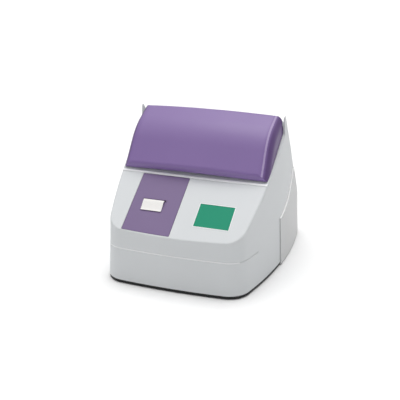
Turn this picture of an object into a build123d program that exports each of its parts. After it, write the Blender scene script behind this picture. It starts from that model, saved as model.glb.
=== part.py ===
from build123d import *
import os
from math import asin, atan2, cos, degrees, radians, sin, sqrt, tan

# Bench analyzer for erythrocyte sedimentation, in millimetres.
# X runs across the width, -Y is the front, +Z is up.
# The origin is on the bench, under the middle of the footprint.

# Main body
body_width = 450.0
body_depth = 549.0
front_arc_radius = 1690.0
side_arc_radius = 1170.0
front_corner_radius = 58.0
rear_corner_radius = 42.0
waist_from_front = 319.0
draft_angle = 2.58
wall = 4.0
seam_gap = 0.4

# Sloped deck
slope_angle = 34.0
slope_front_height = 141.0
slope_edge_round = 5.0
groove_height = 98.0
groove_width = 2.6
groove_depth = 2.0
groove_end_inset = 24.0

# Fins and spine behind the lid
fin_height = 404.0
fin_apex_from_front = 324.0
fin_front_from_front = 317.0
fin_edge_round = 3.0
fin_clearance = 2.4
fin_tip_drop = 12.0
fin_tip_width = 2.8
spine_height = 403.0
spine_shoulder_round = 40.0
rear_face_angle = 59.0

# Base, feet and rear cover
foot_radius = 13.0
foot_height = 2.0
foot_recess = 1.0
foot_inset = 62.0
tray_floor = 3.0
tray_rim = 7.0
tray_inset = 1.0
tray_rim_width = 7.0
tray_rear_inset = 6.0
seam_from_front = 257.0
seam_knee_height = 137.0
seam_top_before_shoulder = 15.0
seam_top_below_shoulder = 3.0
seam_bow = 14.0
rear_proud = 3.0
rear_wall = 3.5
rear_shoulder_behind_face = 2.5
rear_shoulder_height = 235.0
rear_back_height = 92.8
rear_hip_round = 10.0

# Lid (hood)
hood_side_margin = 24.0
hood_end_draft = 5.0
hood_sweep_past = 12.0
end_face_lean = 0.98
hood_wall = 3.0
hood_lip_round = 15.0
hood_bend_round = 150.0
hood_lean = 34.7
hood_face_from_front = 166.5
hood_face_above_deck = 37.7
hood_top_rise = 24.6
hood_gap = 2.0
hood_shoulder_round = 32.0
hood_lip_return = 17.0
hood_arc_radius = 1630.0
hood_arc_tilt = 36.0
hood_roll_trim = 0.2
hood_end_at = 25.0
hood_lip_keep = 6.0
roll_wrap = 40.0
hinge_from_front = 303.5
hinge_above_deck = 47.8
hinge_roll_radius = 17.0
hinge_roll_clearance = 1.4
hinge_pin_radius = 3.0
hinge_pin_length = 18.0
hinge_pin_end_inset = 9.0
hinge_boss_radius = 5.0
hinge_boss_length = 20.0
bracket_thickness = 4.0
bracket_gap = 0.5
bracket_eye_radius = 5.0
bracket_foot_low = 4.0
bracket_foot_high = 24.0
bracket_foot_length = 22.0
running_fit = 0.05
press_gap = 0.02

# Deck frame and sample well
deck_seam_from_crease = 208.1
deck_side_inset = 6.0
deck_opening_margin = 60.0
seal_width = 5.0
seal_height = 1.5
seal_margin = 4.0
buffer_radius = 3.5
buffer_height = 6.0
buffer_side_from_front = 266.0
buffer_from_lid_end = 4.0
notch_clearance = 1.2

# Sample rotor
rotor_from_front = 262.5
rotor_depth_below_slope = 20.0
well_radius = 70.0
well_wall = 2.5
well_margin = 57.5
well_shaft_hole = 12.0
window_end = 17.5
window_height = 30.0
shaft_radius = 5.0
shaft_past_left_plate = 19.0
shaft_past_right_plate = 21.0
rack_end_gap = 23.0
rack_end_margin = 22.0
rack_count = 10
rack_row_offset = 18.0
rack_back_near = 7.5
rack_back_wall = 2.5
rack_shelf_reach = 27.0
rack_hole_radius = 5.2
rack_top = 30.0
rack_top_shelf = 6.0
rack_bottom = 48.0
rack_bottom_shelf = 10.0
rack_socket_depth = 6.0
end_plate_thickness = 4.0
end_hub_radius = 11.0
end_hub_length = 7.0

# Side plates, bearings and belt drive
side_plate_margin = 54.0
side_plate_thickness = 4.0
side_plate_front_from_front = 184.5
side_plate_rear_from_front = 374.5
side_plate_below_slope = 5.5
side_plate_gap = 1.0
side_plate_corner = 5.0
side_plate_foot = 10.0
plate_window_width = 60.0
plate_window_round = 15.0
plate_window_low = 30.0
plate_front_window_from_edge = 50.0
plate_front_window_height = 150.0
plate_rear_window_from_edge = 140.0
plate_rear_window_height = 120.0
bearing_radius = 11.0
bearing_width = 7.0
bearing_flange_radius = 13.0
bearing_flange = 1.5
pulley_width = 9.0
pulley_from_plate = 4.0
rotor_pulley_radius = 12.0
motor_pulley_radius = 8.0
pulley_flange = 1.0
pulley_flange_extra = 1.4
belt_thickness = 1.2
belt_gap = 0.3
belt_width = 6.0
drive_from_front = 334.5
drive_below_rotor = 78.9
motor_size = 42.0
motor_length = 40.0
motor_corner = 5.0
motor_shaft_radius = 2.5
motor_boss_radius = 11.0
motor_boss_height = 2.0

# Reader behind the well
rail_from_front = 361.5
rail_above_rotor = 8.1
rail_spacing = 30.0
rail_radius = 4.0
screw_radius = 4.0
carriage_width = 36.0
carriage_front_from_front = 338.5
carriage_behind_rail = 9.0
carriage_back_gap = 4.0
carriage_margin = 9.0
carriage_end_gap = 20.0
sensor_width = 16.0
sensor_height = 20.0
sensor_reach = 2.0
reader_motor_size = 35.0
reader_motor_length = 26.0

# Display
display_centre = 92.5
display_width = 93.0
display_length = 71.0
display_from_crease = 90.1
display_frame = 6.0
glass_thickness = 1.4
glass_recess = 0.4
module_thickness = 9.0
fit_gap = 0.3

# Printer
door_centre = -73.4
door_width = 131.6
door_top_from_crease = 201.4
door_bottom_from_crease = 13.6
door_gap = 1.0
door_thickness = 3.0
door_rib_height = 6.0
door_rib_thickness = 2.0
door_corner = 2.0
door_hinge_depth = 2.6
door_hinge_from_bottom = 10.5
door_sweep_radius = 11.4
door_pin_radius = 1.2
door_pin_length = 2.6
slot_width = 64.0
slot_length = 4.5
slot_from_crease = 119.1
bay_wall = 2.5
bay_depth = 60.0
bay_top_clearance = 0.5
paper_width = 57.0
paper_thickness = 0.35
slip_length = 36.0
slip_lift = 1.2
slip_left_of_door_centre = 6.6
roll_radius = 24.0
roll_spindle_radius = 6.0
roll_from_crease = 165.1
roll_depth = 33.0
platen_radius = 6.0
platen_shaft_radius = 2.0
platen_from_crease = 109.1
platen_depth = 17.0
printer_frame_wall = 1.5
printer_frame_half = 34.0
printer_frame_depth = 16.0
platen_gear_radius = 8.0
platen_gear_width = 4.0

# Electrics at the back
fan_size = 60.0
fan_thickness = 15.0
fan_from_side = 110.0
fan_wall_gap = 1.5
fan_roof_gap = 0.5
fan_hub_radius = 13.0
fan_blades = 7
fan_blade_clearance = 1.5
grille_slots = 9
grille_slot_width = 3.0
grille_pitch = 6.0
inlet_from_side = 90.0
inlet_height = 46.0
inlet_width = 27.0
inlet_tall = 20.0
inlet_flange = 2.5
inlet_depth = 18.0
socket_width = 23.0
socket_tall = 15.6
switch_height = 78.0
switch_width = 19.0
switch_tall = 13.0
switch_depth = 14.0
rocker_throw = 9.0
rocker_pivot_depth = 3.0
rocker_pin_radius = 1.2
rocker_pin_reach = 1.2
rocker_end_gap = 2.5
rocker_rise = 5.0
rocker_dip = 1.6
rocker_keel = 5.0
port_x = 60.0
port_height = 46.0
port_width = 31.0
port_tall = 12.6
supply_width = 100.0
supply_length = 98.0
supply_height = 42.0
supply_from_side = 73.0
supply_from_back = 40.5
supply_vents = 8
supply_vent_width = 4.0
supply_vent_pitch = 11.0
supply_vent_margin = 12.0
supply_vent_depth = 1.2
board_width = 150.0
board_length = 110.0
board_thickness = 1.6
board_standoff = 8.0
board_from_side = 60.0
board_from_back = 37.5
standoff_inset = 8.0
standoff_radius = 3.0

# Derived frame
front_y = -body_depth / 2
rear_y = body_depth / 2 - rear_proud
waist_y = front_y + waist_from_front
slope_z = slope_front_height + tan(radians(slope_angle)) * body_depth / 2
slope_cos = cos(radians(slope_angle))
slope_sin = sin(radians(slope_angle))
slope = Plane(origin=(0, 0, slope_z), x_dir=(1, 0, 0), z_dir=(0, -slope_sin, slope_cos)).location
side_view = Plane.YZ
tall = 900.0
tray_bottom = foot_height
tray_top = tray_bottom + tray_rim

# Places that follow the body's size
half_width = body_width / 2
hood_half_width = half_width - hood_side_margin
fin_inner_half = hood_half_width + fin_clearance
deck_opening_half = half_width - deck_opening_margin
buffer_side_half = hood_half_width - buffer_from_lid_end
well_half = half_width - well_margin
window_half = well_half - window_end
side_plate_half = half_width - side_plate_margin
shaft_left = side_plate_half + shaft_past_left_plate
shaft_right = side_plate_half + shaft_past_right_plate
rack_half = side_plate_half - rack_end_gap
rack_pitch = 2 * (rack_half - rack_end_margin) / (rack_count - 1)
carriage_home = carriage_end_gap - rack_half
carriage_travel = -2 * carriage_home
crease_t = front_y / slope_cos
deck_seam = crease_t + deck_seam_from_crease
display_t = crease_t + display_from_crease
door_top = crease_t + door_top_from_crease
door_bottom = crease_t + door_bottom_from_crease
slot_t = crease_t + slot_from_crease
slip_centre = door_centre - slip_left_of_door_centre
roll_t = crease_t + roll_from_crease
platen_t = crease_t + platen_from_crease
fan_x = fan_from_side - half_width
inlet_x = half_width - inlet_from_side


def slope_height(y):
    """Height of the sloped deck plane at y."""
    return slope_z + tan(radians(slope_angle)) * y


def slope_coords(y, z):
    """Distances along and above the sloped plane of a point (y, z)."""
    rise = z - slope_z
    return y * slope_cos + rise * slope_sin, rise * slope_cos - y * slope_sin


def slope_point(t, n):
    """The (y, z) of a point t along and n above the sloped plane."""
    return t * slope_cos - n * slope_sin, slope_z + t * slope_sin + n * slope_cos


def in_side_view(face, half):
    """A side-view face carried across the width, to both sides."""
    return extrude(side_view * face, amount=half, both=True)


def slope_box(x0, x1, t0, t1, n0, n1):
    """A box whose sides follow the sloped deck."""
    middle = Pos((x0 + x1) / 2, (t0 + t1) / 2, (n0 + n1) / 2)
    return slope * middle * Box(x1 - x0, t1 - t0, n1 - n0)


def level_box(x0, x1, y0, y1, z0, z1):
    """An upright box between two corners."""
    middle = Pos((x0 + x1) / 2, (y0 + y1) / 2, (z0 + z1) / 2)
    return middle * Box(x1 - x0, y1 - y0, z1 - z0)


def rod_x(y, z, radius, x0, x1):
    """A round bar along X."""
    return Pos((x0 + x1) / 2, y, z) * Rot(0, 90, 0) * Cylinder(radius, x1 - x0)


def plan_face(inset):
    """Footprint: bowed sides and front, rounded corners, straight back."""
    side_x = body_width / 2 - side_arc_radius
    side_r = side_arc_radius - inset
    right = Pos(side_x, waist_y) * Circle(side_r)
    left = Pos(-side_x, waist_y) * Circle(side_r)
    front = Pos(0, front_y + front_arc_radius) * Circle(front_arc_radius - inset)
    back = Pos(0, rear_y - inset - tall / 2) * Rectangle(tall, tall)
    face = right & left & front & back
    front_corners = face.vertices().filter_by_position(Axis.Y, -tall, 0)
    face = fillet(front_corners, front_corner_radius - inset)
    rear_corners = [v for v in face.vertices() if v.Y > rear_y - inset - 0.01]
    return fillet(rear_corners, rear_corner_radius - inset)


def drafted_block(inset):
    """The footprint drawn up with the moulding's draft."""
    return extrude(plan_face(inset), amount=fin_height + 20, taper=draft_angle)


hinge_y = front_y + hinge_from_front
hinge_z = slope_height(hinge_y) + hinge_above_deck
hood_face_height = slope_height(front_y + hood_face_from_front) + hood_face_above_deck
hinge_t, hinge_n = slope_coords(hinge_y, hinge_z)
fin_front_y = front_y + fin_front_from_front
fin_apex_y = front_y + fin_apex_from_front
rear_face_tan = tan(radians(rear_face_angle))
rear_face_sin = sin(radians(rear_face_angle))
spine_t = hinge_t + hood_gap


def roof_face(inset, round_top=0.0):
    """Side view of everything under the deck, fins and spine."""
    drop = inset / slope_cos
    low = -50.0
    run = (fin_height - low) / rear_face_tan
    front = fin_front_y + inset
    points = [
        ((low - slope_z + drop) / tan(radians(slope_angle)), low),
        (front, slope_height(front) - drop),
        (front, fin_height - inset),
        (fin_apex_y - inset / rear_face_sin + inset / rear_face_tan, fin_height - inset),
        (fin_apex_y + run - inset / rear_face_sin, low),
    ]
    face = make_face(Polyline(*points, close=True))
    if round_top > 0:
        tops = [v for v in face.vertices() if v.Y > fin_height - inset - 0.5]
        face = fillet(tops, round_top)
    return face


def hood_space(grow):
    """The space between the fins that the closed and opening lid needs."""
    roll = hinge_roll_radius + hinge_roll_clearance + grow
    t1, n1 = spine_t + grow, tall
    corners = [(-tall, -grow), (t1, -grow), (t1, hinge_n), (hinge_t, n1), (-tall, n1)]
    points = [slope_point(t, n) for t, n in corners[:3]]
    points.append((hinge_y, hinge_z + tall))
    points.append((-tall, hinge_z + tall))
    face = make_face(Polyline(*points, close=True))
    face = face + Pos(hinge_y, hinge_z) * Circle(roll)
    return in_side_view(face, fin_inner_half + grow) + crest_space(grow)


def crest_space(grow):
    """The air over the spine, whose ends round down behind the lid's shoulders."""
    low = spine_height - spine_shoulder_round - grow
    half = fin_inner_half + grow
    above = Pos(0, low + tall / 2) * Rectangle(2 * half, tall)
    top = spine_height - grow
    kept = Pos(0, top / 2) * RectangleRounded(2 * (fin_inner_half - grow), top, spine_shoulder_round - grow)
    return extrude(Plane.XZ * (above - kept), amount=tall / 2, both=True)


def fin_tips():
    """What is cut from the fins to leave their tops pointed."""
    low = (fin_inner_half - 1, fin_height - fin_tip_drop)
    high = (fin_inner_half - 1, fin_height + 1)
    tip = (fin_inner_half + fin_tip_width, fin_height + 1)
    side = extrude(Plane.XZ * make_face(Polyline(low, tip, high, close=True)), amount=tall / 2, both=True)
    return side + mirror(side, about=Plane.YZ)


seam_y = front_y + seam_from_front
shoulder_y = fin_apex_y + (fin_height - rear_shoulder_height) / rear_face_tan + rear_shoulder_behind_face
seam_top_y = shoulder_y - seam_top_before_shoulder
seam_top_height = rear_shoulder_height - seam_top_below_shoulder
rear_fall = (rear_shoulder_height - rear_back_height) / (body_depth / 2 - shoulder_y)


def seam_curve(shift):
    """The line between front housing and rear cover, bottom to top."""
    knee = (seam_y + shift, seam_knee_height)
    top = (seam_top_y, seam_top_height - shift)
    mid_y = (knee[0] + top[0]) / 2 + seam_bow * 0.55
    mid_z = (knee[1] + top[1]) / 2 - seam_bow
    upright = Line((seam_y + shift, -60), knee)
    sweep_up = ThreePointArc(knee, (mid_y, mid_z), top)
    return upright, sweep_up, top


def behind_seam(shift):
    """Everything behind and below the seam, across the width."""
    upright, sweep_up, top = seam_curve(shift)
    rest = Polyline(top, (tall, top[1] + 10), (tall, -60), (seam_y + shift, -60))
    return in_side_view(make_face([upright, sweep_up, rest]), tall / 2)


def make_front_housing():
    """Front, sides, sloped deck, fins and spine in one moulding."""
    outer = drafted_block(0) & in_side_view(roof_face(0, fin_edge_round), tall / 2)
    slope_faces = [f for f in outer.faces() if abs(f.normal_at().Z - slope_cos) < 0.01]
    slope_face = sorted(slope_faces, key=lambda f: f.area)[-1]
    edges = [e for e in slope_face.edges() if e.center().Y < fin_front_y - 1]
    outer = fillet(edges, slope_edge_round)
    inner = drafted_block(wall) & in_side_view(roof_face(wall), tall / 2)
    inner = inner - hood_space(wall)
    shell = outer - inner - hood_space(0) - behind_seam(0)
    shell = shell - level_box(-tall, tall, -tall, tall, -tall, tray_top)
    deck_hole = drafted_block(deck_side_inset) & slope_box(-tall, tall, deck_seam - seam_gap, spine_t, -wall - 1, 1)
    shell = shell - deck_hole
    shell = shell - display_cutter() - door_cutter(door_gap) - door_pin_rod(running_fit)
    return shell - groove_cutter() - fin_tips()


def groove_cutter():
    """The fine line across the front: a small ledge that leans up to the light."""
    reach = half_width - groove_end_inset
    low = groove_height - groove_width / 2
    lean = degrees(atan2(groove_depth, groove_width))
    core = extrude(plan_face(low * tan(radians(draft_angle))), amount=groove_width, taper=lean)
    ring = drafted_block(-1) - Pos(0, 0, low) * core
    return ring & level_box(-reach, reach, -tall, -body_depth / 4, low, low + groove_width)


def display_cutter():
    """Hole and shallow frame recess for the touch display."""
    half_w = display_width / 2 + fit_gap
    half_l = display_length / 2 + fit_gap
    x = display_centre
    t = display_t
    return slope_box(x - half_w, x + half_w, t - half_l, t + half_l, -wall - 2, 2)


def door_outline(gap):
    """The printer door seen square to the deck, its lower edge on the crease."""
    x0 = door_centre - door_width / 2 - gap
    x1 = door_centre + door_width / 2 + gap
    t1 = door_top + gap
    sketch = Pos((x0 + x1) / 2, (t1 + door_bottom * 1.2) / 2) * Rectangle(x1 - x0, t1 - door_bottom * 1.2)
    arc_y = (door_bottom - gap) + front_arc_radius / slope_cos
    bound = Pos(0, arc_y) * Circle(front_arc_radius / slope_cos)
    face = sketch & bound
    return fillet(face.vertices(), door_corner + gap)


def door_cutter(gap):
    return slope * Pos(0, 0, -wall - 2) * extrude(door_outline(gap), amount=wall + 4)


def door_hinge_t():
    """Where the printer door's pins lie along the deck."""
    return door_bottom + door_hinge_from_bottom


def door_pin_rod(grow):
    """The line of the door's two pins, ending in the housing's wall on either side."""
    place = slope * Pos(door_centre, door_hinge_t(), -door_hinge_depth) * Rot(0, 90, 0)
    return place * Cylinder(door_pin_radius + grow, door_width + 2 * door_pin_length + 4 * grow)


def hip_edge(block):
    """The long edge where the rear slope turns down into the back wall."""
    across = [e for e in block.edges() if abs(e.tangent_at(0.5).X) > 0.99]
    return min(across, key=lambda e: (e.center().Y - rear_y) ** 2 + (e.center().Z - rear_back_height) ** 2)


def back_face(inset):
    """Side view of everything under the rear cover's slope."""
    top = rear_shoulder_height - inset * sqrt(1 + rear_fall * rear_fall)
    reach = body_depth / 2
    points = [
        (shoulder_y - reach, top + reach * rear_fall),
        (shoulder_y + reach, top - reach * rear_fall),
        (shoulder_y + reach, -tall),
        (shoulder_y - reach, -tall),
    ]
    return make_face(Polyline(*points, close=True))


def make_rear_housing():
    """Rear cover: lower back of the case, a little proud of the front housing."""
    outer = drafted_block(-rear_proud) & in_side_view(back_face(0), tall / 2)
    inner = drafted_block(rear_wall - rear_proud) & in_side_view(back_face(rear_wall), tall / 2)
    outer = fillet(hip_edge(outer), rear_hip_round)
    inner = fillet(hip_edge(inner), rear_hip_round - rear_wall)
    outer = outer & behind_seam(seam_gap)
    shell = outer - inner
    return shell - level_box(-tall, tall, -tall, tall, -tall, tray_bottom) - rear_cutters()


def hood_corners(inset):
    """Side view of the lid at mid-width: lip, bend, and the start of the hinge roll."""
    lean = radians(90 - hood_lean)
    rise = radians(hood_top_rise)
    roll = hinge_roll_radius - inset
    # the top line is tangent to the roll about the hinge
    top_y = hinge_y - roll * sin(rise)
    top_z = hinge_z + roll * cos(rise)
    near_y = front_y + hood_face_from_front + inset * sin(lean)
    near_z = hood_face_height - inset * cos(lean)
    # the face meets the top line at the bend
    run = (top_z - near_z - (top_y - near_y) * tan(rise)) / (tan(lean) - tan(rise))
    bend = (near_y + run, near_z + run * tan(lean))
    # the face meets the underside at the lip
    under = slope_z + (hood_gap + inset) / slope_cos
    slope_tan = tan(radians(slope_angle))
    back = (near_z - under - near_y * slope_tan) / (tan(lean) - slope_tan)
    lip = (near_y - back, near_z - back * tan(lean))
    return lip, bend, (top_y, top_z)


def rounded_at(face, corner, radius):
    """The face with one corner rounded."""
    nearest = face.vertices().sort_by(lambda v: (v.X - corner[0]) ** 2 + (v.Y - corner[1]) ** 2)
    return fillet(nearest[0], radius)


def hood_profile(inset):
    """The lid's side view with its rounded lip and the roll about the hinge."""
    lip, bend, top = hood_corners(inset)
    rear_low = slope_point(hinge_t, hood_gap + inset)
    face = make_face(Polyline(lip, bend, top, (hinge_y, hinge_z), rear_low, close=True))
    face = rounded_at(face, lip, hood_lip_round - inset)
    face = rounded_at(face, bend, hood_bend_round - inset)
    return face + Pos(hinge_y, hinge_z) * Circle(hinge_roll_radius - inset)


def hood_long_profile(inset):
    """The same side view with a sharp lip, carried on behind the hinge."""
    lip, bend, top = hood_corners(inset)
    past = 2 * hinge_roll_radius
    top_end = (top[0] + past, top[1] + past * tan(radians(hood_top_rise)))
    rear_low = slope_point(hinge_t + past, hood_gap + inset)
    face = make_face(Polyline(lip, bend, top_end, rear_low, close=True))
    return rounded_at(face, bend, hood_bend_round - inset)


def spun_across(face):
    """A side view swept round one large tipped circle, which bows the front and crowns the top."""
    tilt = radians(hood_arc_tilt)
    start = (front_y + hood_face_from_front, hood_face_height)
    centre = (0, start[0] + hood_arc_radius * cos(tilt), start[1] - hood_arc_radius * sin(tilt))
    axis = Axis(centre, (0, sin(tilt), cos(tilt)))
    half_turn = degrees(asin((hood_half_width + hood_sweep_past) / hood_arc_radius))
    return revolve((side_view * face).rotate(axis, -half_turn), axis, 2 * half_turn)


def hood_form(inset):
    """Solid envelope of the lid, or of its inside when inset by the wall."""
    under = hood_gap + inset
    base_half = hood_half_width + (hood_end_at - under) * tan(radians(hood_end_draft)) - inset
    block = Box(tall, tall, tall)
    form = spun_across(hood_long_profile(inset)) - slope * Pos(0, 0, under - tall / 2) * block
    for side in (-1, 1):
        lean = Rot(0, -side * hood_end_draft, 0)
        form = form - slope * Pos(side * base_half, 0, under) * lean * Pos(side * tall / 2, 0, 0) * block
    shoulders = []
    for end in form.faces():
        if abs(end.normal_at().X) < end_face_lean:
            continue
        for edge in end.edges():
            t, n = slope_coords(edge.center().Y, edge.center().Z)
            if n > under + 1 and t < hinge_t + hinge_roll_radius:
                shoulders.append(edge)
    form = fillet(shoulders, hood_shoulder_round - inset)
    form = form & spun_across(hood_profile(inset))
    # behind the hinge the lid keeps to a round roll, so that it can turn
    rear = slope * Pos(0, hinge_t + tall / 2, 0) * block
    roll = rod_x(hinge_y, hinge_z, hinge_roll_radius - hood_roll_trim - inset, -tall, tall)
    return form - (rear - roll)


def make_hood_shell():
    """The lid: a bowed and crowned shell with a turned-under lip, open below and behind."""
    envelope = hood_form(0)
    shell = envelope - hood_form(hood_wall)
    open_half = hood_half_width - hood_lip_return
    lip_t = slope_coords(front_y + hood_face_from_front, slope_height(front_y + hood_face_from_front))[0]
    front_t = lip_t + hood_lip_round + hood_lip_keep
    shell = shell - slope_box(-open_half, open_half, front_t, hinge_t + 30, -5, hood_lip_round)
    wedge = radians(roll_wrap)
    reach = 60.0
    tip = (hinge_y + reach * sin(wedge), hinge_z + reach * cos(wedge))
    low = slope_point(hinge_t + reach, hood_gap - 3)
    near = slope_point(hinge_t - hood_lip_return, hood_gap - 3)
    inside = slope_point(hinge_t - hood_lip_return, hinge_n - hinge_roll_radius + hood_wall)
    wedge_face = make_face(Polyline((hinge_y, hinge_z), tip, (tip[0] + reach, tip[1]), low, near, inside, close=True))
    boss_out = hinge_boss_outer()
    shell = shell - in_side_view(wedge_face, boss_out - hinge_boss_length)
    boss = rod_x(hinge_y, hinge_z, hinge_boss_radius, boss_out - hinge_boss_length, boss_out) & envelope
    shell = shell + boss + mirror(boss, about=Plane.YZ)
    hole = rod_x(hinge_y, hinge_z, hinge_pin_radius, boss_out - hinge_boss_length - 1, boss_out - hinge_pin_end_inset)
    shell = shell - hole - mirror(hole, about=Plane.YZ)
    for x, t in buffer_places():
        notch_top = buffer_height + fit_gap
        notch = slope * Pos(x, t, notch_top / 2) * Cylinder(buffer_radius + notch_clearance, notch_top)
        shell = shell - notch
    return shell


def hinge_boss_outer():
    """Where the end wall's inner side lies at the hinge height."""
    draft = tan(radians(hood_end_draft))
    return hood_half_width - (hinge_n - hood_end_at) * draft - hood_wall


def make_hinge_brackets():
    """Steel ears on the spine that carry the lid's pins."""
    outer = hinge_boss_outer() - hinge_boss_length - bracket_gap
    inner = outer - bracket_thickness
    foot_low = slope_point(spine_t, bracket_foot_low)
    foot_high = slope_point(spine_t, bracket_foot_high)
    near = slope_point(hinge_t - bracket_eye_radius, hinge_n - 2)
    low_near = slope_point(spine_t - bracket_foot_length / 2, bracket_foot_low)
    blade = make_face(Polyline(foot_low, foot_high, (hinge_y + 4, hinge_z), near, low_near, close=True))
    blade = blade + Pos(hinge_y, hinge_z) * Circle(bracket_eye_radius)
    plate = extrude(side_view * blade, amount=bracket_thickness)
    plate = Pos(inner, 0, 0) * plate
    foot = slope_box(inner - bracket_foot_length, inner, spine_t - bracket_thickness, spine_t,
                     bracket_foot_low, bracket_foot_high - 4)
    ear = plate + foot
    ear = ear - rod_x(hinge_y, hinge_z, hinge_pin_radius + running_fit, inner - 5, outer + 5)
    return ear + mirror(ear, about=Plane.YZ)


def make_hinge_pins():
    """Two steel pins fixed in the lid's end bosses."""
    outer = hinge_boss_outer() - hinge_pin_end_inset
    pin = rod_x(hinge_y, hinge_z, hinge_pin_radius, outer - hinge_pin_length, outer)
    return pin + mirror(pin, about=Plane.YZ)


rotor_y = front_y + rotor_from_front
rotor_z = slope_height(rotor_y) - rotor_depth_below_slope / slope_cos
rotor_t, rotor_n = slope_coords(rotor_y, rotor_z)
opening_reach = sqrt(well_radius ** 2 - rotor_depth_below_slope ** 2)


def make_deck_frame():
    """The deck under the lid, with the opening to the sample well."""
    plate = drafted_block(deck_side_inset + fit_gap)
    plate = plate & slope_box(-tall, tall, deck_seam, spine_t - fit_gap, -wall, 0)
    hole = slope_box(-deck_opening_half, deck_opening_half, rotor_t - opening_reach, rotor_t + opening_reach,
                     -wall - 1, 1)
    corners = hole.edges().filter_by(lambda e: abs((e.tangent_at(0.5)).dot(Vector(0, -slope_sin, slope_cos))) > 0.99)
    hole = fillet(corners, 8.0)
    return plate - hole


def make_lid_seal():
    """Soft black strip round the opening, just clear of the closed lid."""
    near = seal_margin
    far = seal_margin + seal_width
    t0 = rotor_t - opening_reach
    t1 = rotor_t + opening_reach
    outer = slope_box(-deck_opening_half - far, deck_opening_half + far, t0 - far, t1 + far, 0, seal_height)
    inner = slope_box(-deck_opening_half - near, deck_opening_half + near, t0 - near, t1 + near, -1, seal_height + 1)
    return outer - inner


def buffer_places():
    """Where the closed lid's ends rest: x, and distance along the deck."""
    t = slope_coords(front_y + buffer_side_from_front, slope_height(front_y + buffer_side_from_front))[0]
    return [(side * buffer_side_half, t) for side in (-1, 1)]


def make_lid_buffers():
    """Black rubber stops that the lid's ends rest on, in small notches."""
    solid = None
    for x, t in buffer_places():
        stop = slope * Pos(x, t, buffer_height / 2) * Cylinder(buffer_radius, buffer_height)
        solid = stop if solid is None else solid + stop
    return solid


def make_sample_well():
    """Moulded trough round the rotor, closed at both ends, with a window for the reader."""
    outer = rod_x(rotor_y, rotor_z, well_radius + well_wall, -well_half, well_half)
    inner = rod_x(rotor_y, rotor_z, well_radius, -well_half + well_wall, well_half - well_wall)
    above = slope_box(-tall, tall, -tall, tall, -wall - fit_gap, tall)
    well = outer - inner - above
    back_y = rotor_y + well_radius
    window = level_box(-window_half, window_half, back_y - 12, back_y + 12,
                       rotor_z - window_height / 2, rotor_z + window_height / 2)
    well = well - window
    shaft = rod_x(rotor_y, rotor_z, well_shaft_hole, -tall, tall)
    rib = rod_x(rotor_y, rotor_z, well_radius + well_wall + 4, -1.5, 1.5)
    ribs = None
    for x in (-100, 0, 100):
        band = Pos(x, 0, 0) * rib
        ribs = band if ribs is None else ribs + band
    ribs = ribs - rod_x(rotor_y, rotor_z, well_radius + 1, -tall, tall) - above
    low = level_box(-tall, tall, -tall, tall, -tall, rotor_z - 30)
    return well - shaft + (ribs & low)


def rack_channel(side):
    """One ten-place tube rack; side is -1 for the front one and 1 for the rear one."""
    near = rotor_y + side * rack_back_near
    far = rotor_y + side * rack_shelf_reach
    back = near + side * rack_back_wall
    y_low, y_high = sorted((near, far))
    b_low, b_high = sorted((near, back))
    top = rotor_z + rack_top
    bottom = rotor_z - rack_bottom
    body = level_box(-rack_half, rack_half, b_low, b_high, bottom, top)
    body = body + level_box(-rack_half, rack_half, y_low, y_high, top - rack_top_shelf, top)
    body = body + level_box(-rack_half, rack_half, y_low, y_high, bottom, bottom + rack_bottom_shelf)
    row = rotor_y + side * rack_row_offset
    for x in rack_places():
        body = body - Pos(x, row, top - rack_top_shelf / 2) * Cylinder(rack_hole_radius, rack_top_shelf + 2)
        floor = bottom + rack_bottom_shelf - rack_socket_depth
        socket = Pos(x, row, floor + rack_socket_depth) * Cylinder(rack_hole_radius, 2 * rack_socket_depth)
        body = body - socket
    return body


def rack_places():
    middle = (rack_count - 1) / 2
    return [(i - middle) * rack_pitch for i in range(rack_count)]


def make_tube_rack_front():
    return rack_channel(-1)


def make_tube_rack_rear():
    return rack_channel(1)


def make_rotor_shaft():
    """Steel shaft through the rotor, from bearing to bearing and on to the pulley."""
    return rod_x(rotor_y, rotor_z, shaft_radius, -shaft_left, shaft_right)


def rotor_end(side):
    """End plate that carries both racks on the shaft."""
    x0 = rack_half
    x1 = rack_half + end_plate_thickness
    arm = Pos(rotor_y, (2 * rotor_z + rack_top - rack_bottom) / 2) * RectangleRounded(
        2 * rack_shelf_reach, rack_top + rack_bottom, 6.0)
    for side_y in (-1, 1):
        arm = arm - Pos(rotor_y + side_y * rack_row_offset, rotor_z - 8) * SlotCenterToCenter(22, 9, rotation=90)
    plate = Pos(x0, 0, 0) * extrude(side_view * arm, amount=end_plate_thickness)
    hub = rod_x(rotor_y, rotor_z, end_hub_radius, x0, x1 + end_hub_length)
    plate = plate + hub
    plate = plate - rod_x(rotor_y, rotor_z, shaft_radius + press_gap, x0 - 1, x1 + end_hub_length + 1)
    return plate if side > 0 else mirror(plate, about=Plane.YZ)


def make_rotor_end_right():
    return rotor_end(1)


def make_rotor_end_left():
    return rotor_end(-1)


drive_y = front_y + drive_from_front
drive_height = rotor_z - drive_below_rotor
rail_y = front_y + rail_from_front
carriage_rear_y = rail_y + carriage_behind_rail
roof_inside = fin_height - (carriage_rear_y + carriage_back_gap + wall / rear_face_sin - fin_apex_y) * rear_face_tan
rail_high = min(rotor_z + rail_above_rotor, roof_inside - carriage_margin)
rail_low = rail_high - rail_spacing


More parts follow.
